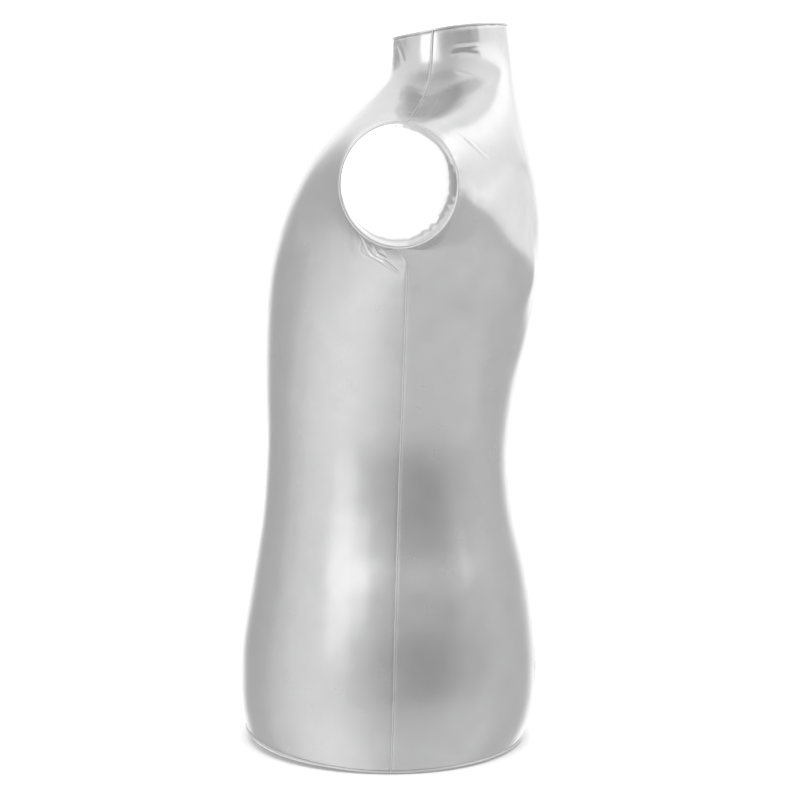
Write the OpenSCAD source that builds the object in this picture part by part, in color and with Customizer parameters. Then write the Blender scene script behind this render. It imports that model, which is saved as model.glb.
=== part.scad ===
// Inflatable half-body mannequin: a sealed torso of welded film that stands on its own base.
// Millimetres, +Z up. The torso faces -Y and its left arm is on +X.
// The origin is on the floor, below the middle of the torso.

/* [Torso] */
// Height of the torso, from the floor to the back of the neck
height = 720; // [650:10:780]
// Shoulder width, from one arm weld to the other at their widest
shoulder_w = 420; // [408:2:430]
// Height of an arm opening
arm_h = 115; // [105:1:120]
// Thickness of the film
film_t = 0.4; // [0.3:0.05:0.6]

/* [Welds] */
// Diameter of the rounded bead where two panels are welded together
weld_d = 2.2; // [1.6:0.1:2.6]
// Free space between a weld bead and each panel beside it
weld_gap = 0.15; // [0.1:0.05:0.3]

/* [Caps] */
// How far the air inside pushes out the neck cap
neck_dome = 3.5; // [2:0.5:8]
// How far the air inside pushes out each arm cap
arm_dome = 7; // [3:0.5:10]

/* [Valve] */
// Diameter of the hole in the valve stem, where a pump nozzle goes in
valve_bore = 8; // [7:0.5:9]
// How far the stem pulls out of the torso to be blown up
valve_travel = 12; // [8:1:12]
// Outer diameter of the ring that is welded to the back
flange_d = 48; // [42:1:52]

/* [Fineness] */
// Ribs in each panel between two stations of a seam
ribs_per_station = 1.5; // [1:0.5:2]
// Steps along half a rib, from the middle of the torso to the seam
steps = 14; // [10:1:15]

/* [Hidden] */

film_color = "silver";
weld_color = "lightgrey";
valve_color = "white";
$fn = 64;

scale_k = height / 720; // the tables below are for a torso 720 tall

// Chest and belly seen from the side, from the base weld to the neck weld: [z, y]
front_outline = [
    [12.5, -146.5], [40, -150.6], [76, -150.8], [107, -148.5], [170, -138], [231, -128.4],
    [293, -124], [354, -124.5], [415, -124.2], [466, -120.5], [506, -112.4], [546, -98.6],
    [586, -78], [616, -54.5], [636, -34.5], [654, -12], [668, 0], [684, 2.6], [706, 4.2]
];
// Back seen from the side, in the same form; it stands upright at the height of the valve
valve_row = [76, 149.6];
back_outline = [
    [4, 137], [24, 144.2], [45, 147.9], valve_row, [107, 147.9], [170, 138.9], [231, 125.6],
    [293, 120.2], [354, 127.4], [415, 141.2], [466, 149.2], [506, 151.8], [546, 149.6],
    [586, 142.8], [626, 133.4], [666, 125.2], [700, 120.2], [720, 118]
];
// Left side seam, from the base to the armpit:
// [station, x, y, z, height of the same rib on the chest, and on the back]
side_seam = [
    [0, 163, 2.5, 2.5, 12.5, 4], [1, 166.5, 3.6, 35, 42, 36], [2, 167, 5, 75, 79, 76],
    [3, 163, 6, 118, 121, 119], [4, 153, 7.2, 165, 167, 166], [5, 141.5, 8.6, 213, 215, 214],
    [6, 134, 10, 262, 264, 264], [7, 133, 11.6, 310, 312, 313], [8, 139, 13.4, 358, 358, 360],
    [9, 149, 15, 402, 398, 401], [10, 160, 16.4, 440, 431, 435], [11, 172, 17.4, 472, 459, 463],
    [12, 186.5, 17, 490.5, 482, 487], [13, 198, 12, 504, 504, 509]
];
// Left shoulder seam, from the top of the arm to the neck, in the same form
shoulder_seam = [
    [0, 199, 18, 619, 626, 634], [1, 172, 21, 624.5, 637, 646], [2, 142, 24.4, 629.5, 647, 657],
    [3, 112, 29, 637, 656, 668], [4, 86, 34.4, 648.5, 665, 679], [5, 68, 39, 663.5, 675, 691],
    [6, 59, 41.6, 683, 689, 704], [7, 55.5, 43, 711.5, 706, 720]
];
neck_lean = 18;    // degrees that the ribs turn as the neck's widest point moves behind its seam
neck_slope = 0.18; // rise of the neck weld for each millimetre towards the back
neck_axis = [0, -0.123, 0.992];

// Arm opening of the left side: its middle, the way it faces, and the two directions across it
arm_ratio = 0.973; // its width over its height
arm_turn = 12;     // degrees that it faces forward
arm_lift = 0;      // degrees that it faces upward
arm_top = 84;      // angle round the opening at which the shoulder seam meets it
arm_axis = [cos(arm_lift) * cos(arm_turn), -cos(arm_lift) * sin(arm_turn), sin(arm_lift)];
arm_across = [sin(arm_turn), cos(arm_turn), 0];
arm_up = cross(arm_axis, arm_across);
arm_r = arm_h / 2;
arm_mid = [shoulder_w / 2 - arm_r * sin(arm_turn), 10, 561.7];
arm_handle = 56;   // length over which a rib runs straight into the opening
arm_taper = 0.16;  // how much the sleeve narrows at the opening
arm_spread = 3.6;  // stations on each side of a corner over which the ribs turn into the sleeve
corner_step = 2.4; // how much further the panels stop from the welds where the ribs turn at a corner
arm_stations = 8;

last_side = len(side_seam) - 1;
last_arm = last_side + arm_stations;
last_station = last_arm + len(shoulder_seam) - 1;
function rib_stations(first, last) =
    let(n = ceil((last - first) * ribs_per_station))
    [for (i = [0 : n - 1]) first + (last - first) * i / n];
ribs = concat(
    rib_stations(0, last_side), rib_stations(last_side, last_arm),
    rib_stations(last_arm, last_station), [last_station]
);
edge = weld_d / 2 + weld_gap; // distance from the middle of a seam to the panels beside it
quarter_k = 0.5523;           // handle length that makes a Bezier curve follow a quarter circle
tiny = 0.01;

// Valve, in its own frame: z = 0 on the outside of the film, +z outward, +y down the back
flange_r = flange_d / 2;
flange_t = 0.8;
flange_fall = 0.0018;     // the ring's fall per square millimetre of radius, close to the back's curve
dish_r = 14;              // radius of the hole inside the ring
hole_r = dish_r + 1;      // hole in the back panel, under the ring
bore_r = valve_bore / 2;
stem_r = bore_r + 1.6;
stem_top = -1.4;
stem_bottom = -17;
lip_r = stem_r + 2;
lip_t = 1.6;
collar_depth = 14;
collar_t = 0.8;
fit_gap = 0.15;           // between the parts of the valve that touch when it is closed
plug_t = 1.3;
plug_r = stem_r + 1.2;
pin_len = 4;
strap_w = 4;
strap_t = 0.8;
plug_hinge_y = lip_r + 1.8;
plug_hinge_z = stem_top + fit_gap + strap_t / 2;
flap_t = 0.5;
flap_r = stem_r - 0.3;
flap_hinge_y = -stem_r - 0.6;
flap_hinge_z = stem_bottom - fit_gap - flap_t / 2;
valve_at = scale_k * [0, valve_row[1], valve_row[0]];

function unit(v) = v / norm(v);
function ease(t) = let(c = min(1, max(0, t))) c * c * (3 - 2 * c);
function mirrored(p) = [-p[0], p[1], p[2]];

// Smooth curve through the rows of a table whose first column is the position along the curve
function row_before(table, t, i = 0) =
    i >= len(table) - 2 || t < table[i + 1][0] ? i : row_before(table, t, i + 1);
function row_slope(table, i) =
    let(a = table[max(0, i - 1)], b = table[min(len(table) - 1, i + 1)])
    (b - a) / (b[0] - a[0]);
function along(table, t) =
    let(
        i = row_before(table, t),
        a = table[i],
        b = table[i + 1],
        d = b[0] - a[0],
        u = (t - a[0]) / d,
        f = u * u * (3 - 2 * u)
    )
    a * (1 - f) + b * f
    + row_slope(table, i) * d * u * (1 - u) * (1 - u)
    - row_slope(table, i + 1) * d * u * u * (1 - u);

function bezier(p, s) =
    let(r = 1 - s)
    p[0] * r * r * r + p[1] * 3 * r * r * s + p[2] * 3 * r * s * s + p[3] * s * s * s;

// Point on the left arm opening, at an angle from its back edge
function arm_point(angle) =
    arm_mid + arm_r * (arm_ratio * cos(angle) * arm_across + sin(angle) * arm_up);
function with_point(row, p) = [row[0], p[0], p[1], p[2], row[4], row[5]];
side_rows = [for (row = side_seam) row[0] < last_side ? row : with_point(row, arm_point(-90))];
shoulder_rows = [for (row = shoulder_seam) row[0] > 0 ? row : with_point(row, arm_point(arm_top))];

// Where a rib ends on the seams of the left side: [point, z of the rib at the middle of the
// torso, direction in which the rib arrives, how far it has turned into the sleeve]
function rib_end(v, back) =
    let(
        part = (v - last_side) / arm_stations,
        on_arm = part > 0 && part < 1,
        row = v <= last_side ? along(side_rows, v) : along(shoulder_rows, max(0, v - last_arm)),
        start = back ? -90 : 270,
        p = on_arm ? arm_point(start + part * (arm_top - start)) : [row[1], row[2], row[3]],
        low = side_rows[last_side],
        mid_z = on_arm ? low + (shoulder_rows[0] - low) * part : row,
        neck = ease((v - last_arm - 3) / 3),
        lean = neck * neck_lean,
        across = (back ? -1 : 1) * [sin(lean), cos(lean), neck * neck_slope],
        sleeve = unit(arm_axis - arm_taper * unit(p - arm_mid)),
        turn = ease((v - last_side + arm_spread) / arm_spread / 2)
            * ease((last_arm + arm_spread - v) / arm_spread / 2)
    )
    [p, mid_z[back ? 5 : 4], unit(across * (1 - turn) + sleeve * turn), turn];

// Bezier points of the left half of a rib, from the middle of the torso to the seam
function rib(v, back) =
    let(
        end = rib_end(v, back),
        p = end[0],
        turn = end[3],
        z = end[1],
        y = along(back ? back_outline : front_outline, z)[1],
        depth = norm([p[1] - y, turn * (p[2] - z)]),
        handle = quarter_k * depth * (1 - turn) + arm_handle * turn
    )
    scale_k * [[0, y, z], [quarter_k * p[0], y, z], p - end[2] * handle, p];

// Point of the torso: v counts stations from base to neck, s runs from the middle to the seam
function skin(v, s, back) = bezier(rib(v, back), s);

// The same for a panel, which stops clear of the weld beads at its edges
function panel_point(v, s, back) =
    let(
        p = skin(v, s, back),
        turn = rib_end(v, back)[3],
        inward_s = s < 1 ? [0, 0, 0] : unit(skin(v, 1 - tiny, back) - p),
        step = v == 0 ? tiny : v == last_station ? -tiny : 0,
        inward_v = step == 0 ? [0, 0, 0] : unit(skin(v + step, s, back) - p)
    )
    p + edge * (inward_s * (1 + corner_step * turn * (1 - turn)) + inward_v);
function panel_grid(back) = [
    for (v = ribs)
        let(half = [for (j = [0 : steps]) panel_point(v, j / steps, back)])
        concat([for (j = [steps : -1 : 1]) mirrored(half[j])], half)
];
function grid_normal(grid, i, j) =
    let(
        last_i = len(grid) - 1,
        last_j = len(grid[0]) - 1,
        along_row = grid[i][min(last_j, j + 1)] - grid[i][max(0, j - 1)],
        along_column = grid[min(last_i, i + 1)][j] - grid[max(0, i - 1)][j]
    )
    unit(cross(along_row, along_column));

// Film over a grid of points, with its thickness to one side (1 or -1) along the grid's normal
module film(grid, side) {
    rows = len(grid);
    cols = len(grid[0]);
    n = rows * cols;
    outer = [for (row = grid) each row];
    inner = [
        for (i = [0 : rows - 1], j = [0 : cols - 1])
            grid[i][j] + side * film_t * grid_normal(grid, i, j)
    ];
    sheet = [
        for (i = [0 : rows - 2], j = [0 : cols - 2])
            let(a = i * cols + j, b = a + cols)
            each j < cols / 2 - 1 ? [[a, b, b + 1], [a, b + 1, a + 1]] : [[a, b, a + 1], [a + 1, b, b + 1]]
    ];
    rim = concat(
        [for (j = [0 : cols - 2]) j],
        [for (i = [0 : rows - 2]) (i + 1) * cols - 1],
        [for (j = [cols - 1 : -1 : 1]) (rows - 1) * cols + j],
        [for (i = [rows - 1 : -1 : 1]) i * cols]
    );
    walls = [
        for (i = [0 : len(rim) - 1])
            let(a = rim[i], b = rim[(i + 1) % len(rim)])
            each [[a, b, b + n], [a, b + n, a + n]]
    ];
    faces = concat(sheet, [for (f = sheet) [f[2] + n, f[1] + n, f[0] + n]], walls);
    turned = side > 0 ? faces : [for (f = faces) [f[2], f[1], f[0]]];
    polyhedron(concat(outer, inner), turned, convexity = 6);
}

// Film over rings of points that close on one middle point; the two stacks are its two sides
module disc(upper, lower, ring_n) {
    n = len(upper);
    rings = (n - 1) / ring_n;
    sheet = [
        for (r = [0 : rings - 1], i = [0 : ring_n - 1])
            let(a = r * ring_n + i, b = r * ring_n + (i + 1) % ring_n)
            each r == rings - 1 ? [[a, n - 1, b]] : [[a, a + ring_n, b], [b, a + ring_n, b + ring_n]]
    ];
    walls = [
        for (i = [0 : ring_n - 1])
            let(j = (i + 1) % ring_n)
            each [[i, j, j + n], [i, j + n, i + n]]
    ];
    faces = concat(sheet, [for (f = sheet) [f[2] + n, f[1] + n, f[0] + n]], walls);
    polyhedron(concat(upper, lower), faces, convexity = 4);
}

// Bead of round section along a line of points, either a closed loop or with flat ends
bead_sides = 6;
module bead(line, closed, hint) {
    n = len(line);
    points = [
        for (i = [0 : n - 1])
            let(
                before = line[closed ? (i + n - 1) % n : max(0, i - 1)],
                after = line[closed ? (i + 1) % n : min(n - 1, i + 1)],
                ahead = unit(after - before),
                across = unit(cross(ahead, hint)),
                up = cross(across, ahead)
            )
            for (m = [0 : bead_sides - 1])
                let(turn = 360 * m / bead_sides)
                line[i] + weld_d / 2 * (across * cos(turn) + up * sin(turn))
    ];
    walls = [
        for (i = [0 : closed ? n - 1 : n - 2], m = [0 : bead_sides - 1])
            let(
                next = (m + 1) % bead_sides,
                a = i * bead_sides,
                b = ((i + 1) % n) * bead_sides
            )
            each [[a + m, b + m, a + next], [b + m, b + next, a + next]]
    ];
    ends = closed ? [] : [
        [for (m = [0 : bead_sides - 1]) m],
        [for (m = [bead_sides - 1 : -1 : 0]) (n - 1) * bead_sides + m]
    ];
    polyhedron(points, concat(walls, ends), convexity = 6);
}

// Lines that the weld beads follow
function loop_line(v) =
    let(
        front = [for (j = [0 : steps]) skin(v, j / steps, false)],
        back = [for (j = [steps - 1 : -1 : 0]) skin(v, j / steps, true)],
        left = concat(front, back),
        n = len(left)
    )
    concat(left, [for (i = [n - 2 : -1 : 1]) mirrored(left[i])]);
function seam_line(first, last, n) = [for (i = [0 : n]) skin(first + (last - first) * i / n, 1, true)];
function middle(loop) = [for (i = [0 : 2]) [for (p = loop) p[i]] * [for (p = loop) 1]] / len(loop);
arm_points = 40;
arm_loop = [for (i = [0 : arm_points - 1]) scale_k * arm_point(360 * i / arm_points)];
base_loop = loop_line(0);
neck_loop = loop_line(last_station);
seam_clear = 0.1; // stations left free where a seam's bead ends beside another bead

module front_panel() color(film_color) film(panel_grid(false), -1);

module back_panel() color(film_color) difference() {
    film(panel_grid(true), 1);
    on_valve() translate([0, 0, -10]) cylinder(h = 20, r = hole_r);
}

// Cap inside a weld loop, pushed out along an axis by the air inside
cap_rings = [1, 0.96, 0.88, 0.74, 0.56, 0.34];
module cap(loop, axis, dome) {
    m = middle(loop);
    outer = concat(
        [
            for (q = cap_rings, p = loop)
                m + (p - m) * q * (1 - edge / norm(p - m)) + axis * dome * (1 - q * q)
        ],
        [m + axis * dome]
    );
    color(film_color) disc(outer, [for (p = outer) p - film_t * axis], len(loop));
}
module neck_cap() cap(neck_loop, neck_axis, neck_dome);
module left_arm_cap() cap(arm_loop, arm_axis, arm_dome);
module right_arm_cap() mirror([1, 0, 0]) left_arm_cap();

// Base panel: flat on the floor, and rolled up at its rim to meet the base weld
base_flat = 0.87; // share of its radius that rests on the floor
base_rings = [1, 0.992, 0.975, 0.95, 0.915, base_flat];
module base_panel() {
    m = [middle(base_loop)[0], middle(base_loop)[1], 0];
    lower = concat(
        [
            for (q = base_rings, p = base_loop)
                let(
                    out = [p[0], p[1], 0] - m,
                    roll = (q - base_flat) / (1 - base_flat),
                    z = p[2] * (1 - sqrt(1 - roll * roll))
                )
                m + out * q * (1 - edge / norm(out)) + [0, 0, z]
        ],
        [m]
    );
    color(film_color) disc([for (p = lower) p + [0, 0, film_t]], lower, len(base_loop));
}

module left_side_weld()
    color(weld_color) bead(seam_line(seam_clear, last_side - seam_clear, 26), false, [0, 1, 0]);
module right_side_weld() mirror([1, 0, 0]) left_side_weld();
module left_shoulder_weld()
    color(weld_color)
        bead(seam_line(last_arm + seam_clear, last_station - seam_clear, 14), false, [0, 1, 0]);
module right_shoulder_weld() mirror([1, 0, 0]) left_shoulder_weld();
module neck_weld() color(weld_color) bead(neck_loop, true, neck_axis);
module left_arm_weld() color(weld_color) bead(arm_loop, true, arm_axis);
module right_arm_weld() mirror([1, 0, 0]) left_arm_weld();
module base_weld() color(weld_color) bead(base_loop, true, [0, 0, 1]);

// The valve lies in the middle of the lower back and points straight backwards
module on_valve() translate(valve_at) rotate([-90, 0, 0]) children();

// Ring welded to the back, which follows its curve
function flange_z(r) = 0.1 - flange_fall * r * r;
module valve_flange() color(valve_color) on_valve() rotate_extrude() polygon([
    [dish_r, flange_z(dish_r)], [flange_r, flange_z(flange_r)],
    [flange_r - 0.6, flange_z(flange_r) + flange_t], [dish_r, flange_z(dish_r) + flange_t]
]);

// Soft cone that lets the stem move in and out
module valve_collar() color(valve_color) on_valve() rotate_extrude() polygon([
    [dish_r - fit_gap, 0], [dish_r - fit_gap - collar_t, 0],
    [stem_r + fit_gap, -collar_depth + collar_t], [stem_r + fit_gap, -collar_depth - collar_t / 2]
]);

module valve_stem() color(valve_color) on_valve() difference() {
    union() {
        translate([0, 0, stem_bottom]) cylinder(h = stem_top - stem_bottom, r = stem_r);
        translate([0, 0, stem_top - lip_t]) cylinder(h = lip_t, r = lip_r);
        // tab below the plug's hinge, and tab above the flap's hinge
        translate([-strap_w / 2, stem_r, stem_top - lip_t])
            cube([strap_w, plug_hinge_y + 0.6 - stem_r, lip_t - fit_gap]);
        translate([-strap_w / 2, flap_hinge_y - 0.4, stem_bottom])
            cube([strap_w, stem_r, 1]);
    }
    translate([0, 0, stem_bottom - 1]) cylinder(h = stem_top - stem_bottom + 2, r = bore_r);
}

// Plug with a tapered pin, and the strap that holds it to the stem
module valve_plug() color(valve_color) on_valve() {
    under = stem_top + fit_gap;
    translate([0, 0, under]) cylinder(h = plug_t, r = plug_r);
    translate([0, 0, under - pin_len]) cylinder(h = pin_len + 0.5, r1 = bore_r - 1.1, r2 = bore_r - 0.1);
    translate([-strap_w / 2, plug_r - 1, under]) cube([strap_w, plug_hinge_y - plug_r + 1, strap_t]);
    translate([-strap_w / 2, plug_hinge_y, plug_hinge_z]) rotate([0, 90, 0])
        cylinder(h = strap_w, r = strap_t / 2);
}

// One-way flap over the inner end of the stem
module valve_flap() color(valve_color) on_valve() {
    translate([0, 0, flap_hinge_z - flap_t / 2]) cylinder(h = flap_t, r = flap_r);
    translate([-strap_w / 2, flap_hinge_y, flap_hinge_z - flap_t / 2]) cube([strap_w, stem_r, flap_t]);
    translate([-strap_w / 2, flap_hinge_y, flap_hinge_z]) rotate([0, 90, 0])
        cylinder(h = strap_w, r = flap_t / 2);
}

echo(plug_hinge = valve_at + [0, plug_hinge_z, -plug_hinge_y]);
echo(flap_hinge = valve_at + [0, flap_hinge_z, -flap_hinge_y]);
echo(valve_at = valve_at);

front_panel();
back_panel();
neck_cap();
left_arm_cap();
right_arm_cap();
base_panel();
left_side_weld();
right_side_weld();
left_shoulder_weld();
right_shoulder_weld();
neck_weld();
left_arm_weld();
right_arm_weld();
base_weld();
valve_flange();
valve_collar();
valve_stem();
valve_plug();
valve_flap();
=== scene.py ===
import math

import bmesh
import bpy
import numpy as np
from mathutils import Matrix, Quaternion, Vector, kdtree, noise
from mathutils.bvhtree import BVHTree


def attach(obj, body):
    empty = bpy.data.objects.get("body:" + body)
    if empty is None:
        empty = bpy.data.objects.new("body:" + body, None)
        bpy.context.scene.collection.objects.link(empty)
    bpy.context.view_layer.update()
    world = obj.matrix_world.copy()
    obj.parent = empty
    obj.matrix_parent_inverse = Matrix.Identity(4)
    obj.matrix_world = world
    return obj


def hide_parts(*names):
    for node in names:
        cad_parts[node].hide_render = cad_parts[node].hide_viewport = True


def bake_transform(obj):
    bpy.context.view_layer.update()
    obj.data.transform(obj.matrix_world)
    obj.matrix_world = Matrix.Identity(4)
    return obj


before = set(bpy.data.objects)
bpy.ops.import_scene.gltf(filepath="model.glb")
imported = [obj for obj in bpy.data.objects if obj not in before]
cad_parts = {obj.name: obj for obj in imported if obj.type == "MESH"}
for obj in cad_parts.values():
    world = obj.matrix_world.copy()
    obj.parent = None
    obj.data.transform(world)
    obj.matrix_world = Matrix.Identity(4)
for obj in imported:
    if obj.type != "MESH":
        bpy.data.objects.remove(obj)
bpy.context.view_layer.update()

# The torso's film follows the same lines as the CAD panels. They are in millimetres here, and the
# meshes are scaled to metres when they are made.
MM = 0.001
FRONT_OUTLINE = [  # chest and belly seen from the side: z, y
    (12.5, -146.5), (40, -150.6), (76, -150.8), (107, -148.5), (170, -138), (231, -128.4),
    (293, -124), (354, -124.5), (415, -124.2), (466, -120.5), (506, -112.4), (546, -98.6),
    (586, -78), (616, -54.5), (636, -34.5), (654, -12), (668, 0), (684, 2.6), (706, 4.2),
]
BACK_OUTLINE = [
    (4, 137), (24, 144.2), (45, 147.9), (76, 149.6), (107, 147.9), (170, 138.9), (231, 125.6),
    (293, 120.2), (354, 127.4), (415, 141.2), (466, 149.2), (506, 151.8), (546, 149.6),
    (586, 142.8), (626, 133.4), (666, 125.2), (700, 120.2), (720, 118),
]
ARM_R, ARM_RATIO, ARM_TURN = 57.5, 0.973, math.radians(12)
ARM_AXIS = np.array([math.cos(ARM_TURN), -math.sin(ARM_TURN), 0.0])
ARM_ACROSS = np.array([math.sin(ARM_TURN), math.cos(ARM_TURN), 0.0])
ARM_UP = np.array([0.0, 0.0, 1.0])
ARM_MID = np.array([210 - ARM_R * math.sin(ARM_TURN), 10.0, 561.7])
ARM_TOP, ARM_BOTTOM = 84.0, -90.0  # degrees at which the shoulder and side seams meet the arm opening
ARM_STATIONS, ARM_HANDLE, ARM_TAPER = 8, 56.0, 0.16
ARM_SPREAD = 3.6  # stations beside a corner over which the ribs turn into the sleeve
NECK_LEAN, NECK_SLOPE = 18.0, 0.18
NECK_START, NECK_SPAN = 3, 3  # stations past the shoulder where the ribs begin to lean, and for how many
NECK_AXIS = np.array([0.0, -0.123, 0.992])
QUARTER_K = 0.5523  # handle length of a quarter circle drawn as a Bezier curve


def unit(v):
    return v / np.linalg.norm(v, axis=-1, keepdims=True)


def ease(t):
    t = np.clip(t, 0.0, 1.0)
    return t * t * (3 - 2 * t)


def arm_point(degrees):
    """Points on the left arm's opening, at angles from its back edge upwards."""
    a = np.radians(degrees)[..., None]
    return ARM_MID + ARM_R * (ARM_RATIO * np.cos(a) * ARM_ACROSS + np.sin(a) * ARM_UP)


def seam_row(station, point, chest_z, back_z):
    """A seam table's row at a point of the arm's opening."""
    return (station, *point, chest_z, back_z)


SIDE_SEAM = [  # station, x, y, z, height of the same rib on the chest and on the back
    (0, 163, 2.5, 2.5, 12.5, 4), (1, 166.5, 3.6, 35, 42, 36), (2, 167, 5, 75, 79, 76),
    (3, 163, 6, 118, 121, 119), (4, 153, 7.2, 165, 167, 166), (5, 141.5, 8.6, 213, 215, 214),
    (6, 134, 10, 262, 264, 264), (7, 133, 11.6, 310, 312, 313), (8, 139, 13.4, 358, 358, 360),
    (9, 149, 15, 402, 398, 401), (10, 160, 16.4, 440, 431, 435), (11, 172, 17.4, 472, 459, 463),
    (12, 186.5, 17, 490.5, 482, 487), seam_row(13, arm_point(np.array(ARM_BOTTOM)), 504, 509),
]
SHOULDER_SEAM = [
    seam_row(0, arm_point(np.array(ARM_TOP)), 626, 634), (1, 172, 21, 624.5, 637, 646),
    (2, 142, 24.4, 629.5, 647, 657), (3, 112, 29, 637, 656, 668), (4, 86, 34.4, 648.5, 665, 679),
    (5, 68, 39, 663.5, 675, 691), (6, 59, 41.6, 683, 689, 704), (7, 55.5, 43, 711.5, 706, 720),
]
ARMPIT = len(SIDE_SEAM) - 1
SHOULDER = ARMPIT + ARM_STATIONS
NECK = SHOULDER + len(SHOULDER_SEAM) - 1


def along(table, t):
    """Smooth curve through a table's rows, at positions t in its first column."""
    rows = np.array(table, dtype=float)
    x = rows[:, 0]
    slope = np.empty_like(rows)
    slope[1:-1] = (rows[2:] - rows[:-2]) / (x[2:] - x[:-2])[:, None]
    slope[0] = (rows[1] - rows[0]) / (x[1] - x[0])
    slope[-1] = (rows[-1] - rows[-2]) / (x[-1] - x[-2])
    i = np.clip(np.searchsorted(x, t, side="right") - 1, 0, len(x) - 2)
    d = (x[i + 1] - x[i])[:, None]
    u = (t - x[i])[:, None] / d
    f = u * u * (3 - 2 * u)
    return (rows[i] * (1 - f) + rows[i + 1] * f
            + slope[i] * d * u * (1 - u) ** 2 - slope[i + 1] * d * u * u * (1 - u))


def skin(v, s, back):
    """Points on the left half of a panel: v counts stations from base to neck, and s runs from the
    middle of the torso to the seam. Returns an array of len(v) x len(s) x 3, in millimetres."""
    v, s = np.atleast_1d(v).astype(float), np.atleast_1d(s).astype(float)
    part = (v - ARMPIT) / ARM_STATIONS
    side = along(SIDE_SEAM, np.minimum(v, ARMPIT))
    shoulder = along(SHOULDER_SEAM, np.maximum(v - SHOULDER, 0))
    row = np.where((v <= ARMPIT)[:, None], side, shoulder)
    on_arm = (part > 0) & (part < 1)
    start = ARM_BOTTOM if back else ARM_BOTTOM + 360
    p = np.where(on_arm[:, None], arm_point(start + part * (ARM_TOP - start)), row[:, 1:4])
    column = 5 if back else 4
    low, high = SIDE_SEAM[-1][column], SHOULDER_SEAM[0][column]
    z = np.where(on_arm, low + (high - low) * part, row[:, column])
    neck = ease((v - SHOULDER - NECK_START) / NECK_SPAN)
    lean = np.radians(neck * NECK_LEAN)
    across = (-1 if back else 1) * np.stack([np.sin(lean), np.cos(lean), neck * NECK_SLOPE], 1)
    sleeve = unit(ARM_AXIS - ARM_TAPER * unit(p - ARM_MID))
    turn = (ease((v - ARMPIT + ARM_SPREAD) / ARM_SPREAD / 2)
            * ease((SHOULDER + ARM_SPREAD - v) / ARM_SPREAD / 2))[:, None]
    arrive = unit(across * (1 - turn) + sleeve * turn)
    y = along(BACK_OUTLINE if back else FRONT_OUTLINE, z)[:, 1]
    depth = np.hypot(p[:, 1] - y, turn[:, 0] * (p[:, 2] - z))[:, None]
    handle = QUARTER_K * depth * (1 - turn) + ARM_HANDLE * turn
    a = np.stack([np.zeros_like(z), y, z], 1)
    b = np.stack([QUARTER_K * p[:, 0], y, z], 1)
    c = p - arrive * handle
    r, q = (1 - s)[None, :, None], s[None, :, None]
    return (a[:, None] * r ** 3 + b[:, None] * 3 * r * r * q
            + c[:, None] * 3 * r * q * q + p[:, None] * q ** 3)


def mirrored(points):
    return points * np.array([-1.0, 1.0, 1.0])


# Seam lines
def ring_line(v, count):
    """Closed line round both panels at one station."""
    s = np.linspace(0, 1, count)
    left = np.concatenate([skin(v, s, False)[0], skin(v, s[-2::-1], True)[0]])
    return np.concatenate([left, mirrored(left[-2:0:-1])])


SIDE_LINE = skin(np.linspace(0, ARMPIT, 260), 1.0, True)[:, 0]
SHOULDER_LINE = skin(np.linspace(SHOULDER, NECK, 120), 1.0, True)[:, 0]
ARM_LINE = arm_point(np.linspace(0, 360, 240, endpoint=False))
BASE_LINE = ring_line(0, 90)
NECK_LINE = ring_line(NECK, 60)
SEAMS = {
    "base": BASE_LINE, "neck": NECK_LINE,
    "left_side": SIDE_LINE, "right_side": mirrored(SIDE_LINE),
    "left_shoulder": SHOULDER_LINE, "right_shoulder": mirrored(SHOULDER_LINE),
    "left_arm": ARM_LINE, "right_arm": mirrored(ARM_LINE),
}
# Puckers beside each seam: how deep, how far they reach into the film, and their spacing
PUCKERS = {
    "base": (0.10, 9, 11), "neck": (0.35, 9, 8), "side": (0.12, 9, 13),
    "shoulder": (0.18, 9, 11), "arm": (0.55, 9, 8),
}


def lengths(line):
    """How far along a line each of its points is."""
    return np.concatenate([[0], np.cumsum(np.linalg.norm(np.diff(line, axis=0), axis=1))])


def near(line, points):
    """Distance of each point to a line, and how far along the line its nearest point is."""
    tree = kdtree.KDTree(len(line))
    for i, p in enumerate(line):
        tree.insert(p, i)
    tree.balance()
    found = [tree.find(p)[1:] for p in points]
    return np.array([d for _, d in found]), lengths(line)[[i for i, _ in found]]


def waves(along_mm, away_mm, spacing, seed):
    """Wrinkles that run away from a seam, from -1 to 1."""
    return np.array([noise.noise((a / spacing, d / (4 * spacing), seed)) for a, d in zip(along_mm, away_mm)])


def grid_normals(grid):
    """Outward normals of a panel's grid."""
    return unit(np.cross(np.gradient(grid, axis=1), np.gradient(grid, axis=0)))


def grid_mesh(name, grid, closed=False):
    """Smooth mesh over a grid of points, whose rows may each close on themselves."""
    rows, cols = grid.shape[:2]
    mesh = bpy.data.meshes.new(name)
    a = np.arange(rows * cols).reshape(rows, cols)
    right = np.roll(a, -1, axis=1) if closed else a[:, 1:]
    left = a if closed else a[:, :-1]
    faces = np.stack([left[:-1], right[:-1], right[1:], left[1:]], -1).reshape(-1, 4)
    mesh.from_pydata((grid.reshape(-1, 3) * MM).tolist(), [], faces.tolist())
    mesh.polygons.foreach_set("use_smooth", [True] * len(mesh.polygons))
    mesh.update()
    piece = bpy.data.objects.new(name, mesh)
    bpy.context.collection.objects.link(piece)
    return piece


# Groove along each seam: how deep and how wide
GROOVE = {
    "base": (0.6, 2.4), "neck": (0.7, 2.4), "side": (0.4, 1.8), "shoulder": (0.4, 1.8), "arm": (0.6, 2.2),
}


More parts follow.
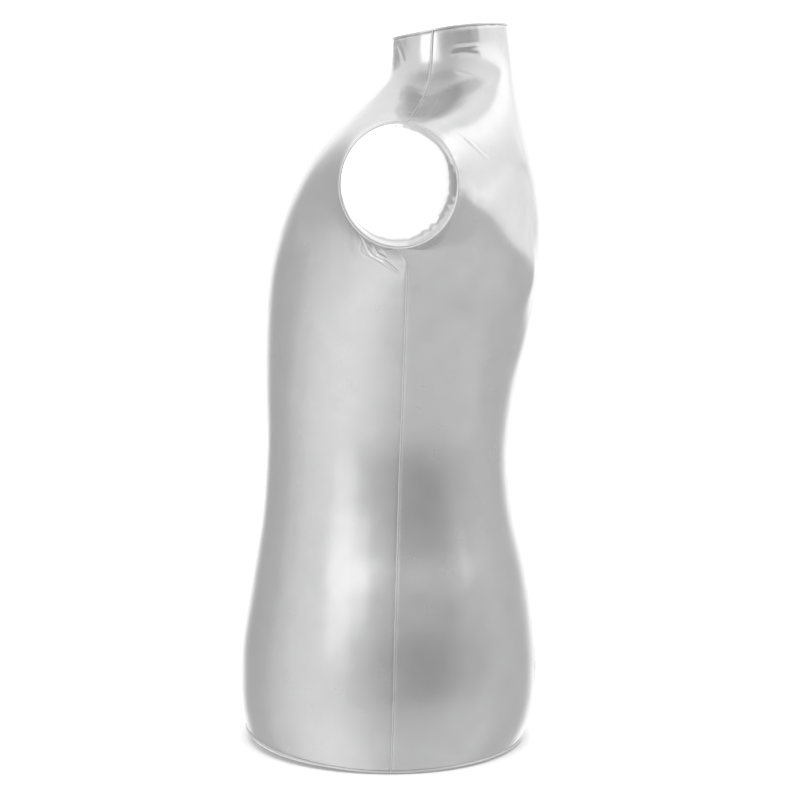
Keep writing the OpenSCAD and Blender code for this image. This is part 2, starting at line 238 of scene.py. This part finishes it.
def seam_relief(points):
    """How far the film stands in or out beside the seams, in millimetres along its normal, and how far
    each point is from the closest seam."""
    out = np.zeros(len(points))
    closest = np.full(len(points), np.inf)
    for seed, name in enumerate(SEAMS):
        deep, reach, spacing = PUCKERS[name.split("_")[-1]]
        d, a = near(SEAMS[name], points)
        closest = np.minimum(closest, d)
        dip, width = GROOVE[name.split("_")[-1]]
        out -= dip * np.exp(-(d / width) ** 2)
        close = d < 5 * reach
        ripple = np.zeros(len(points))
        ripple[close] = waves(a[close], d[close], spacing, 7.3 * seed + 1.7)
        out += deep * ripple * np.exp(-d / reach) * 2
    return out, closest


def uneven(points, spacing, seed):
    """Soft unevenness of film that is pulled tight by air, from about -1 to 1."""
    return np.array([noise.noise((p[0] / spacing, p[1] / spacing, p[2] / spacing + seed)) for p in points])


# Creases in the film: the panel they are in, their points as (station, share of the rib), how deep
# they are and how wide in millimetres; a negative depth is a ridge
CREASES = [
    # folds under the front of the arm, which end where the side seam bends
    ("front", [(15.2, 0.955), (14.2, 0.865), (12.8, 0.84), (12, 0.915), (11.2, 0.985)], 1.1, 1.0),
    ("front", [(15, 0.92), (13.8, 0.82), (12.9, 0.79), (12.2, 0.86), (11.6, 0.92), (11.2, 0.96)], 0.5, 0.9),
    ("front", [(14, 0.93), (12.8, 0.87), (12.3, 0.915)], 1.2, 1.7),
    ("front", [(14, 0.98), (13.3, 0.92), (12.5, 0.925)], 0.5, 1.0),
    ("front", [(15.8, 0.88), (14.7, 0.82), (12.9, 0.76), (12.1, 0.83)], -0.2, 4.0),
    # crease over the shoulder blade
    ("back", [(19.9, 0.775), (19, 0.69), (18.0, 0.585)], -1.1, 1.3),
    ("back", [(17.3, 0.8), (16.7, 0.78), (16.2, 0.77)], 0.25, 2.4),
    # folds below the neck weld
    ("back", [(27.25, 0.83), (27.2, 0.7), (27.15, 0.57)], -0.5, 1.3),
    ("back", [(27.0, 0.86), (26.95, 0.72), (26.6, 0.56)], 0.7, 2.4),
    ("back", [(26.1, 0.8), (25.6, 0.67), (24.9, 0.61)], 0.35, 1.6),
    ("front", [(27.85, 0.26), (27.3, 0.42), (26.7, 0.52)], 0.7, 2.0),
    ("back", [(27.85, 0.23), (27.2, 0.25), (26.4, 0.25)], 0.6, 1.8),
]

FAR_SHARE = 0.7      # how deep the same creases are on the right side
CREASE_POINTS = 80   # points taken along a crease
CREASE_FADE = 0.2    # share of its length over which it fades at each end
BESIDE_DEPTH, BESIDE_AT = 0.3, 2.2  # the film's rise beside a groove: share of its depth, and widths away

# Broad swelling of the back film under the shoulder blade, on both sides
SWELL_PATH = [(16.2, 0.97), (15.45, 0.765), (13.7, 0.557), (12.3, 0.43), (11.3, 0.3), (10.9, 0.12)]
SWELL_DEPTH, SWELL_WIDTH, SWELL_POINTS = -6.0, 27.0, 800
SWELL_EDGE = 30  # distance from a seam over which the swelling grows


def crease(points, line, depth, width, count=CREASE_POINTS):
    """How far the film moves at points beside a crease that follows a line."""
    fine = along([(i, *p) for i, p in enumerate(line)], np.linspace(0, len(line) - 1, count))[:, 1:]
    d, a = near(fine, points)
    whole = np.linalg.norm(np.diff(fine, axis=0), axis=1).sum()
    fade = ease(a / whole / CREASE_FADE) * ease((1 - a / whole) / CREASE_FADE)
    beside = BESIDE_DEPTH * np.exp(-((d - BESIDE_AT * width) / width) ** 2)
    return -depth * fade * (np.exp(-(d / width) ** 2) - beside)


def rows_of(zones):
    """Stations for a panel's rows: each zone is its first and last station and its number of rows."""
    return np.concatenate([np.linspace(a, b, n, endpoint=False) for a, b, n in zones] + [[zones[-1][1]]])


ROWS_UP = 18  # rows in a station of the upper half, where the film is smoothed
PANEL_ROWS = rows_of([
    (0.025, 0.4, 12), (0.4, 8, 68), (8, NECK - 0.5, int((NECK - 8.5) * ROWS_UP)),
    (NECK - 0.5, NECK - 0.035, 14),
])
HALF_COLS = 120


def low_pass(grid, sigma):
    """Smooths a grid along its rows, and keeps its broad shape."""
    i = np.arange(len(grid))
    k = np.exp(-0.5 * ((i[:, None] - i[None]) / sigma) ** 2)
    k /= k.sum(axis=1, keepdims=True)
    flat = grid.reshape(len(grid), -1)
    first = k @ flat
    return (2 * first - k @ first).reshape(grid.shape)


SEAM_SHARE = 0.004  # share of a rib left free beside its seam, under the bead
spread = np.linspace(0, 1, HALF_COLS)
# Columns lie closest together at the seam
PANEL_COLS = 1 - SEAM_SHARE - (1 - SEAM_SHARE) * (0.2 * spread + 0.8 * spread * spread)[::-1]
PANEL_COLS[0] = 0

# Smoothing of the film round the sleeves, in two passes: how far along the rows in stations, where it
# starts and how soon, where it ends and how soon, and the shares of a rib over which it grows from the
# torso's middle (None if it is whole there) and from the seam
SMOOTHING = [(0.9, 9.5, 2, 27, 1.5, None, 0.2), (2.0, 9, 3, 26.5, 3, 0.35, 0.35)]


def panel_surface(back):
    """A panel's points from one side seam to the other, on each of its rows, and their normals."""
    left = skin(PANEL_ROWS, PANEL_COLS, back)
    for sigma, low, low_span, high, high_span, inner, outer in SMOOTHING:
        where = ease((PANEL_ROWS - low) / low_span)[:, None] * ease((high - PANEL_ROWS) / high_span)[:, None]
        beside = ease((1 - PANEL_COLS) / outer)
        where = where * (beside * ease(PANEL_COLS / inner) if inner else beside)[None]
        left += (low_pass(left, sigma * ROWS_UP) - left) * where[..., None]
    grid = np.concatenate([mirrored(left[:, :0:-1]), left], axis=1)
    if back:
        grid = grid[:, ::-1]
    return grid, grid_normals(grid)


def on_panel(grid, path, back):
    """Points on the left half of a panel's grid, from (station, share of the rib)."""
    path = np.array(path)
    row = np.interp(path[:, 0], PANEL_ROWS, np.arange(len(PANEL_ROWS)))
    col = HALF_COLS - 1 + np.interp(path[:, 1], PANEL_COLS, np.arange(HALF_COLS)) * (-1 if back else 1)
    i, j = row.astype(int), col.astype(int)
    a, b = (row - i)[:, None], (col - j)[:, None]
    return ((grid[i, j] * (1 - a) + grid[i + 1, j] * a) * (1 - b)
            + (grid[i, j + 1] * (1 - a) + grid[i + 1, j + 1] * a) * b)


# The film's unevenness: height, distance from a seam over which it grows, spacing, seed
UNEVENNESS = [(0.45, 60, 70, 3.1), (0.12, 25, 24, 8.2)]


def film_panel(name, back):
    """A panel's film, with its seams' puckers, its creases and its unevenness."""
    grid, normal = panel_surface(back)
    flat, normal = grid.reshape(-1, 3), normal.reshape(-1, 3)
    out, closest = seam_relief(flat)
    for height, grow, spacing, seed in UNEVENNESS:
        out += height * ease(closest / grow) * uneven(flat, spacing, seed + back)
    for panel, path, depth, width in CREASES:
        if (panel == "back") == back:
            line = on_panel(grid, path, back)
            for mirror, share in ((1, 1.0), (-1, FAR_SHARE)):
                out += crease(flat * (mirror, 1, 1), line, depth * share, width)
    if back:
        line = on_panel(grid, SWELL_PATH, back)
        for mirror in (1, -1):
            swell = crease(flat * (mirror, 1, 1), line, SWELL_DEPTH, SWELL_WIDTH, SWELL_POINTS)
            out += swell * ease(closest / SWELL_EDGE)
    moved = (flat + normal * out[:, None]).reshape(grid.shape)
    return grid_mesh(name, moved)


def rework(piece, change):
    """Changes a piece's mesh by change(bm), and turns its faces outwards."""
    bm = bmesh.new()
    bm.from_mesh(piece.data)
    change(bm)
    bmesh.ops.recalc_face_normals(bm, faces=bm.faces)
    bm.to_mesh(piece.data)
    bm.free()
    return piece


def join_ends(bm):
    """Joins the last row of a grid to the first, where they lie on each other."""
    bmesh.ops.remove_doubles(bm, verts=bm.verts, dist=1e-7)


BEAD_UNEVEN, BEAD_SPACING = 0.05, 9  # how uneven a bead's radius is, and over what length


def tube(name, line, radius, closed, hint=(0, 0, 1), sides=12, seed=0.0):
    """Round bead along a line, a little uneven, with its ends filled flat where it isn't closed."""
    line = np.asarray(line)
    if closed:
        ahead = unit(np.roll(line, -1, axis=0) - np.roll(line, 1, axis=0))
    else:
        ahead = unit(np.gradient(line, axis=0))
    across = unit(np.cross(ahead, np.asarray(hint, dtype=float)))
    up = np.cross(across, ahead)
    size = radius * (1 + BEAD_UNEVEN * uneven(line, BEAD_SPACING, seed))
    turn = np.linspace(0, 2 * math.pi, sides, endpoint=False)
    ring = (across[:, None] * np.cos(turn)[None, :, None] + up[:, None] * np.sin(turn)[None, :, None])
    grid = line[:, None] + ring * size[:, None, None]
    if closed:
        grid = np.concatenate([grid, grid[:1]])

    def close_ends(bm):
        first = [e for e in bm.edges if e.is_boundary and e.verts[0].index < sides]
        bmesh.ops.contextual_create(bm, geom=first)
        bmesh.ops.contextual_create(bm, geom=[e for e in bm.edges if e.is_boundary])

    piece = rework(grid_mesh(name, grid, closed=True), join_ends if closed else close_ends)
    piece.data.polygons.foreach_set("use_smooth", [True] * len(piece.data.polygons))
    return piece


def disc_mesh(name, rings, middle):
    """Rings of points that close on one middle point."""
    rings = np.asarray(rings)
    n = rings.shape[1]

    def close_middle(bm):
        bm.verts.ensure_lookup_table()
        last = [bm.verts[(len(rings) - 1) * n + i] for i in range(n)]
        centre = bm.verts.new(Vector(middle * MM))
        for i in range(n):
            bm.faces.new((last[i], last[(i + 1) % n], centre)).smooth = True

    return rework(grid_mesh(name, rings, closed=True), close_middle)


def resample(line, count):
    """A closed line's points, evenly spaced."""
    pts = np.concatenate([line, line[:1]])
    length = lengths(pts)
    t = np.linspace(0, length[-1], count, endpoint=False)
    return np.stack([np.interp(t, length, pts[:, i]) for i in range(3)], 1)


CAP_EDGE = 1.0   # distance from the middle of a seam to the cap inside it
CAP_RINGS = 64
CAP_REACH = 7    # how far a cap's wrinkles reach in from its rim
CAP_START = 1.5  # how soon they grow beside it


def cap_disc(name, loop, axis, rise, crinkle, seed):
    """Cap inside a loop: rise(q, angle) is how far it is pushed out at a share q of its radius, and
    crinkle(angle) is how deep the wrinkles at its rim are."""
    axis = unit(np.asarray(axis, dtype=float))
    m = loop.mean(axis=0)
    out = loop - m
    radius = np.linalg.norm(out, axis=1)
    length = lengths(loop)
    angle = np.degrees(np.arctan2(out[:, 2], out[:, 1]))
    rings = []
    for q in 1 - np.linspace(0, 0.97, CAP_RINGS) ** 1.5:
        away = (1 - q) * radius
        wrinkle = waves(length, 2 * away, 7.0, seed) + 0.3 * waves(length, 3 * away, 3.5, seed + 5)
        wrinkle *= crinkle(angle) * np.exp(-(away / CAP_REACH) ** 2) * ease(away / CAP_START)
        rings.append(m + out * q * (1 - CAP_EDGE / radius)[:, None]
                     + axis * (rise(q, angle) + wrinkle)[:, None])
    return disc_mesh(name, rings, m + axis * rise(0.0, angle).mean())


def angle_from(angle, middle):
    """How far angles are from a middle one, in degrees."""
    return np.abs((angle - middle + 180) % 360 - 180)


ARM_DOME, ARM_STEP, ARM_TILT = 0.8, 1.7, 1.6  # height of the cap's dome, of its rim, and of its tilt
ARM_HIGHEST = -42       # angle at which the tilted cap stands out most
TIGHT, GENTLE = 32, 14  # powers that say how close to its edge the rim rolls over
GENTLE_AT, GENTLE_SPAN = -14, 75  # angle where it rolls over most gently, and how far that reaches


def arm_rise(q, angle):
    """The cap stands out most at the lower back and least at its top front. Its rim rolls over close to
    its edge, but more gently at the back."""
    edge = ARM_STEP + ARM_TILT * q * np.cos(np.radians(angle - ARM_HIGHEST))
    gentle = ease(1 - angle_from(angle, GENTLE_AT) / GENTLE_SPAN)
    return ARM_DOME * (1 - q * q) + edge * (1 - q ** TIGHT * (1 - gentle) - q ** GENTLE * gentle)


def neck_rise(q, angle):
    return (1.5 * (1 - q * q) + 2.0 * (1 - q ** 8)) * np.ones_like(angle)


def arm_crinkle(angle):
    """How deep its rim's wrinkles are: deepest at the lower back, and slight at the top and front."""
    return 0.08 + 0.42 * ease(1 - angle_from(angle, -30) / 70)


def neck_crinkle(angle):
    return 0.35 * np.ones_like(angle)


def torso_piece(piece, node):
    """A piece that rides on the torso in place of a CAD node."""
    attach(piece, "torso")
    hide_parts(node)
    return piece


front = torso_piece(film_panel("film_front", False), "front_panel")
back = torso_piece(film_panel("film_back", True), "back_panel")
films, caps, beads = [front, back], [], []

# Caps, and the weld beads with their radii
arm_loop = arm_point(np.linspace(0, 360, 320, endpoint=False))
for side, sign in (("left", 1), ("right", -1)):
    flip = np.array([sign, 1, 1])
    caps.append(torso_piece(
        cap_disc(f"{side}_cap", arm_loop * flip, ARM_AXIS * flip, arm_rise, arm_crinkle, 4.0 + sign),
        f"{side}_arm_cap"))
    for seam, line, radius, hint in (
        ("side", SIDE_LINE, 0.85, (0, 1, 0)), ("shoulder", SHOULDER_LINE, 0.85, (0, 1, 0)),
        ("arm", resample(ARM_LINE, 300), 1.0, tuple(ARM_AXIS * flip)),
    ):
        beads.append(torso_piece(
            tube(f"{side}_{seam}_bead", line * flip, radius, seam == "arm", hint, seed=sign * 3.0),
            f"{side}_{seam}_weld"))
caps.append(torso_piece(
    cap_disc("neck_top", resample(NECK_LINE, 260), NECK_AXIS, neck_rise, neck_crinkle, 9.0), "neck_cap"))
beads.append(torso_piece(tube("neck_bead", resample(NECK_LINE, 240), 1.15, True, tuple(NECK_AXIS)),
                         "neck_weld"))
beads.append(torso_piece(tube("base_bead", resample(BASE_LINE, 520), 1.0, True), "base_weld"))


BASE_FLAT = 0.87  # share of the base's radius that rests on the floor


def base_disc():
    """Base: flat on the floor, and rolled up at its rim to meet the base weld."""
    loop = resample(BASE_LINE, 420)
    m = np.array([0, loop[:, 1].mean(), 0])
    out = (loop - m) * (1, 1, 0)
    radius = np.linalg.norm(out, axis=1)
    length = lengths(loop)
    rings = []
    for q in np.concatenate([1 - 0.16 * np.linspace(0, 1, 22) ** 1.4, np.linspace(0.82, 0.06, 26)]):
        roll = max(0.0, (q - BASE_FLAT) / (1 - BASE_FLAT))
        z = loop[:, 2] * (1 - math.sqrt(1 - roll * roll))
        pucker = 0.5 * np.abs(waves(length, (1 - q) * radius, 9.0, 2.0))
        pucker = pucker * ease(roll / 0.3) * ease((1 - q) / 0.02)
        ring = m + out * q * (1 - CAP_EDGE / radius)[:, None]
        ring[:, 2] = z + pucker
        rings.append(ring)
    return disc_mesh("base", rings, m)


films.append(torso_piece(base_disc(), "base_panel"))

# The valve is turned round an axis that points backwards, and its depths run along that axis
VALVE_AT = np.array([0, 149.6, 76.0])
STEM_R, DISH_R, COLLAR_DEPTH = 5.6, 13.9, 13.9
HOLE_R = 16.5       # radius of the hole in the back film, under the ring
HOLE_MARGIN = 6     # how far outside it the film's cut edge may lie before it is drawn in
RIBS_ROUND = 48     # knurls in the ring's weld band


def back_surface(points_xz):
    """The back film's y at places beside the valve."""
    tree = BVHTree.FromObject(back, bpy.context.evaluated_depsgraph_get())
    found = [tree.ray_cast(Vector((x * MM, 0.3, z * MM)), Vector((0, -1, 0)))[0] for x, z in points_xz]
    return np.array([hit.y / MM for hit in found])


def turned(name, profile, count):
    """Closed ring turned round the valve's axis. profile(angle) gives its (radius, depth) outline."""
    angles = np.linspace(0, 2 * math.pi, count, endpoint=False)
    grid = []
    for a in angles:
        outline = np.asarray(profile(a))
        grid.append(np.stack([outline[:, 0] * math.cos(a), outline[:, 1],
                              outline[:, 0] * math.sin(a)], 1) + VALVE_AT)
    grid.append(grid[0])
    return rework(grid_mesh(name, np.array(grid), closed=True), join_ends)


def make_flange():
    """Ring welded to the back: a thick inner rim, a knurled weld band, and a thin outer edge."""
    radii = np.array([14.0, 14.15, 14.6, 15.4, 16.2, 16.7, 17.1, 17.6, 18.6, 19.6, 20.6, 21.6, 22.3, 22.8,
                      23.4, 23.8, 24.0])
    top = np.array([0.55, 0.75, 0.85, 0.85, 0.8, 0.6, 0.42, 0.38, 0.38, 0.38, 0.38, 0.38, 0.42, 0.5,
                    0.42, 0.28, 0.1])
    angles = np.linspace(0, 2 * math.pi, 192, endpoint=False)
    at = [(r * math.cos(a) + VALVE_AT[0], r * math.sin(a) + VALVE_AT[2]) for a in angles for r in radii]
    film_y = back_surface(at).reshape(len(angles), len(radii)) - VALVE_AT[1]

    def profile(a):
        i = int(round(a / (2 * math.pi) * len(angles)))
        band = ((radii > 17.3) & (radii < 22)) * 0.09 * math.cos(RIBS_ROUND * a)
        outer = np.stack([radii, film_y[i] + top + band], 1)
        inner = np.stack([radii, film_y[i] - 0.25], 1)
        return np.concatenate([outer, inner[::-1]])
    return turned("valve_ring", profile, len(angles))


def make_collar():
    """Soft cone from the ring to the stem, with shallow folds round it."""
    t = np.linspace(0, 1, 28)

    def profile(a):
        folds = 0.25 * np.sin(t * 5 * math.pi) * (1 - t) * t * 4
        radius = DISH_R + (STEM_R + 0.2 - DISH_R) * t + folds
        depth = -COLLAR_DEPTH * ease(t) * 0.6 - COLLAR_DEPTH * t * 0.4
        depth = depth + 0.12 * math.sin(9 * a) * np.sin(math.pi * t)
        outer = np.stack([radius, depth], 1)
        inner = np.stack([radius - 0.15, depth - 0.7], 1)
        return np.concatenate([outer, inner[::-1]])
    return turned("valve_cone", profile, 96)


def cut_hole():
    """Opens the back film under the ring."""
    bm = bmesh.new()
    bm.from_mesh(back.data)
    cx, cz = VALVE_AT[0] * MM, VALVE_AT[2] * MM

    def reach(point):
        return math.hypot(point.x - cx, point.z - cz)

    under = [f for f in bm.faces if reach(f.calc_center_median()) < HOLE_R * MM]
    bmesh.ops.delete(bm, geom=under, context="FACES")
    for v in bm.verts:
        if v.is_boundary and reach(v.co) < (HOLE_R + HOLE_MARGIN) * MM:
            k = HOLE_R * MM / reach(v.co)
            v.co.x, v.co.z = cx + (v.co.x - cx) * k, cz + (v.co.z - cz) * k
    bm.to_mesh(back.data)
    bm.free()


flange = torso_piece(make_flange(), "valve_flange")
collar = make_collar()
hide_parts("valve_collar")
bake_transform(collar)
cut_hole()
valve_pieces = [flange, collar]
for node in ("valve_stem", "valve_plug", "valve_flap"):
    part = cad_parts[node]
    soften = part.modifiers.new("edges", "BEVEL")
    soften.width, soften.segments = 0.0002, 3
    soften.limit_method, soften.angle_limit = "ANGLE", math.radians(35)
    valve_pieces.append(part)


# Materials
def node_material(name):
    """A new material with its nodes, its links and its shader."""
    mat = bpy.data.materials.new(name)
    mat.use_nodes = True
    return mat, mat.node_tree.nodes, mat.node_tree.links, mat.node_tree.nodes["Principled BSDF"]


def film_material(name, base, metallic, roughness, coat, coat_roughness, grain=0.02):
    """Metallic PVC: fine flakes, soft mottling, and a clear smooth top."""
    mat, nodes, links, shader = node_material(name)
    shader.inputs["Metallic"].default_value = metallic
    shader.inputs["Coat Weight"].default_value = coat
    shader.inputs["Coat Roughness"].default_value = coat_roughness
    place = nodes.new("ShaderNodeTexCoord")

    def pattern(scale, detail, low, high):
        tex = nodes.new("ShaderNodeTexNoise")
        tex.inputs["Scale"].default_value = scale
        tex.inputs["Detail"].default_value = detail
        links.new(place.outputs["Object"], tex.inputs["Vector"])
        span = nodes.new("ShaderNodeMapRange")
        span.inputs["From Min"].default_value = 0.3
        span.inputs["From Max"].default_value = 0.7
        span.inputs["To Min"].default_value = low
        span.inputs["To Max"].default_value = high
        links.new(tex.outputs["Fac"], span.inputs["Value"])
        return span.outputs["Result"]

    mottle = pattern(40, 4, 0.975, 1.02)
    flakes = pattern(1400, 2, 0.97, 1.03)
    both = nodes.new("ShaderNodeMath")
    both.operation = "MULTIPLY"
    links.new(mottle, both.inputs[0])
    links.new(flakes, both.inputs[1])
    tint = nodes.new("ShaderNodeVectorMath")
    tint.operation = "SCALE"
    tint.inputs[0].default_value = base
    links.new(both.outputs[0], tint.inputs["Scale"])
    links.new(tint.outputs[0], shader.inputs["Base Color"])
    links.new(pattern(60, 5, roughness - 0.02, roughness + 0.025), shader.inputs["Roughness"])
    bump = nodes.new("ShaderNodeBump")
    bump.inputs["Strength"].default_value = grain
    bump.inputs["Distance"].default_value = 0.0002
    links.new(pattern(900, 3, 0, 1), bump.inputs["Height"])
    links.new(bump.outputs["Normal"], shader.inputs["Normal"])
    return mat


silver = film_material("silver_film", (0.7, 0.7, 0.702), 0.97, 0.25, 0.4, 0.08)
# The caps are the same silver film as the panels; their brighter base colour (0.93 against 0.7) is a painted
# highlight, so that they show white
cap_silver_painted_highlight = film_material("cap_film_painted_highlight", (0.93, 0.93, 0.932), 1.0, 0.12, 0.3, 0.05)
weld_silver = film_material("weld_film", (0.68, 0.68, 0.682), 0.9, 0.3, 0.4, 0.1, 0.1)


def valve_material():
    """Soft translucent PVC: clouded inside, satin outside."""
    mat, nodes, links, shader = node_material("soft_pvc")
    shader.inputs["Coat Weight"].default_value = 0.25
    shader.inputs["Coat Roughness"].default_value = 0.15
    shader.inputs["Subsurface Weight"].default_value = 0.35
    shader.inputs["Subsurface Radius"].default_value = (0.004, 0.004, 0.004)
    place = nodes.new("ShaderNodeTexCoord")
    cloud = nodes.new("ShaderNodeTexNoise")
    cloud.inputs["Scale"].default_value = 180
    cloud.inputs["Detail"].default_value = 4
    links.new(place.outputs["Object"], cloud.inputs["Vector"])
    tint = nodes.new("ShaderNodeMix")
    tint.data_type = "RGBA"
    tint.inputs[6].default_value = (0.74, 0.745, 0.75, 1)
    tint.inputs[7].default_value = (0.84, 0.84, 0.835, 1)
    links.new(cloud.outputs["Fac"], tint.inputs["Factor"])
    links.new(tint.outputs[2], shader.inputs["Base Color"])
    rough = nodes.new("ShaderNodeMapRange")
    rough.inputs["To Min"].default_value = 0.3
    rough.inputs["To Max"].default_value = 0.48
    links.new(cloud.outputs["Fac"], rough.inputs["Value"])
    links.new(rough.outputs["Result"], shader.inputs["Roughness"])
    bump = nodes.new("ShaderNodeBump")
    bump.inputs["Strength"].default_value = 0.12
    bump.inputs["Distance"].default_value = 0.0002
    links.new(cloud.outputs["Fac"], bump.inputs["Height"])
    links.new(bump.outputs["Normal"], shader.inputs["Normal"])
    return mat


soft_pvc = valve_material()
for group, mat in ((films, silver), (caps, cap_silver_painted_highlight), (beads, weld_silver)):
    for piece in group:
        piece.data.materials.clear()
        piece.data.materials.append(mat)
for piece in valve_pieces:
    if piece.material_slots:
        for slot in piece.material_slots:
            slot.material = soft_pvc
    else:
        piece.data.materials.append(soft_pvc)

# Studio: a camera at chest height on the torso's left, tilted a little down, with soft boxes and a pale
# surround and floor
camera = bpy.data.objects.new("camera", bpy.data.cameras.new("camera"))
bpy.context.collection.objects.link(camera)
bpy.context.scene.camera = camera
camera.location = (2.3, 0.0112, 0.572)
camera.data.lens = 102.6
camera.rotation_euler = (math.radians(90 - 5.658), 0, math.radians(90))
bpy.context.scene.view_settings.view_transform = "Standard"

# Brightness of the surround by its angle from +X towards +Y, below the horizon, at it, above it and
# overhead
LOW = [(-180, 1.3), (-160, 1.2), (-146, 0.52), (-120, 0.58), (-99, 0.75), (-75, 0.93), (-50, 1.0),
       (-32, 0.94), (-14, 0.78), (0, 0.69), (25, 0.68), (60, 0.7), (86, 0.72), (110, 0.6), (140, 0.57),
       (158, 1.2), (180, 1.3)]
MID = [(-180, 1.3), (-160, 1.2), (-146, 0.48), (-114, 0.55), (-99, 0.72), (-80, 0.86), (-60, 0.9),
       (-42, 0.83), (-30, 0.68), (-14, 0.53), (0, 0.42), (25, 0.36), (42, 0.37), (70, 0.52), (100, 0.62),
       (140, 0.56), (158, 1.2), (180, 1.3)]
HIGH = [(-180, 0.95), (-145, 0.93), (-110, 0.92), (-60, 0.82), (-30, 0.68), (0, 0.66), (20, 0.8), (48, 0.9),
        (90, 0.95), (130, 0.95), (158, 1.1), (180, 1.1)]
TOP = [(-180, 0.7), (-90, 0.6), (-45, 0.48), (-8, 0.5), (2, 0.62), (14, 0.76), (30, 0.86), (60, 0.95),
       (120, 1.0), (180, 0.9)]
# Sines of the elevations between which each list gives way to the next
LOW_TO_MID, MID_TO_HIGH, HIGH_TO_TOP = (-0.32, -0.13), (0.15, 0.42), (0.7, 0.95)
WORLD_GAIN = 2.0  # strength of the background, whose ramps hold shares of it


def studio_world():
    """Surround whose brightness depends on the direction."""
    world = bpy.data.worlds.new("studio")
    bpy.context.scene.world = world
    world.use_nodes = True
    nodes, links = world.node_tree.nodes, world.node_tree.links
    place = nodes.new("ShaderNodeTexCoord")
    xyz = nodes.new("ShaderNodeSeparateXYZ")
    links.new(place.outputs["Generated"], xyz.inputs[0])
    turn = nodes.new("ShaderNodeMath")
    turn.operation = "ARCTAN2"
    links.new(xyz.outputs["Y"], turn.inputs[0])
    links.new(xyz.outputs["X"], turn.inputs[1])
    share = nodes.new("ShaderNodeMapRange")
    share.inputs["From Min"].default_value = -math.pi
    share.inputs["From Max"].default_value = math.pi
    links.new(turn.outputs[0], share.inputs["Value"])

    def ramp(table):
        node = nodes.new("ShaderNodeValToRGB")
        node.color_ramp.interpolation = "EASE"
        stops = node.color_ramp.elements
        while len(stops) < len(table):
            stops.new(0.5)
        for stop, (degrees, value) in zip(stops, table):
            stop.position = (degrees + 180) / 360
            stop.color = (*[value / WORLD_GAIN] * 3, 1)
        links.new(share.outputs["Result"], node.inputs["Fac"])
        return node.outputs["Color"]

    def blend(a, b, start, end):
        step = nodes.new("ShaderNodeMapRange")
        step.interpolation_type = "SMOOTHSTEP"
        step.inputs["From Min"].default_value = start
        step.inputs["From Max"].default_value = end
        links.new(xyz.outputs["Z"], step.inputs["Value"])
        mix = nodes.new("ShaderNodeMix")
        mix.data_type = "RGBA"
        links.new(step.outputs["Result"], mix.inputs["Factor"])
        links.new(a, mix.inputs[6])
        links.new(b, mix.inputs[7])
        return mix.outputs[2]

    colour = blend(blend(ramp(LOW), ramp(MID), *LOW_TO_MID), ramp(HIGH), *MID_TO_HIGH)
    colour = blend(colour, ramp(TOP), *HIGH_TO_TOP)
    links.new(colour, nodes["Background"].inputs["Color"])
    nodes["Background"].inputs["Strength"].default_value = WORLD_GAIN


studio_world()


def softbox(name, at, towards, width, height, radiance, roll=0):
    """A rectangular light at a place, turned towards another, and rolled by some degrees."""
    light = bpy.data.lights.new(name, "AREA")
    light.shape = "RECTANGLE"
    light.size, light.size_y = width, height
    light.energy = radiance * math.pi * width * height
    lamp = bpy.data.objects.new(name, light)
    bpy.context.collection.objects.link(lamp)
    lamp.location = at
    facing = (Vector(at) - Vector(towards)).to_track_quat("Z", "Y")
    lamp.rotation_euler = (facing @ Quaternion((0, 0, 1), math.radians(roll))).to_euler()
    lamp.visible_camera = False


softbox("key", (1.05, -0.87, 1.05), (0.2, 0, 0.95), 0.9, 1.15, 0.5)
softbox("low_strip", (0.97, -0.91, 0.3), (0.15, -0.03, 0.3), 0.42, 0.36, 0.27)
softbox("key_top", (1.05, -0.87, 1.1), (0.2, 0, 1.0), 0.9, 0.8, 0.3)
softbox("front", (0.77, -0.31, 0.59), (0.2, 0, 0.59), 0.52, 0.27, 0.5)
softbox("back", (-0.4, 1.41, 1.2), (-0.1, 0, 1.05), 2.5, 1.15, 0.42, 6)
softbox("back_low", (-0.12, 0.72, 0.56), (0, 0, 0.56), 1.1, 0.13, 0.42)

sun = bpy.data.objects.new("sky", bpy.data.lights.new("sky", "SUN"))
bpy.context.collection.objects.link(sun)
sun.data.energy = 2.4
sun.data.angle = math.radians(70)
sun.visible_glossy = False

floor_mesh = bpy.data.meshes.new("floor")
FLOOR = 25  # metres from its middle to its sides
corners = [(x * FLOOR, y * FLOOR, 0) for x, y in ((-1, -1), (1, -1), (1, 1), (-1, 1))]
floor_mesh.from_pydata(corners, [], [(0, 1, 2, 3)])
floor = bpy.data.objects.new("floor", floor_mesh)
bpy.context.collection.objects.link(floor)
floor.visible_glossy = False
floor_mat, _, _, shader = node_material("floor_paper")
shader.inputs["Base Color"].default_value = (0.93, 0.93, 0.93, 1)
shader.inputs["Roughness"].default_value = 0.9
shader.inputs["Specular IOR Level"].default_value = 0.1
floor_mesh.materials.append(floor_mat)
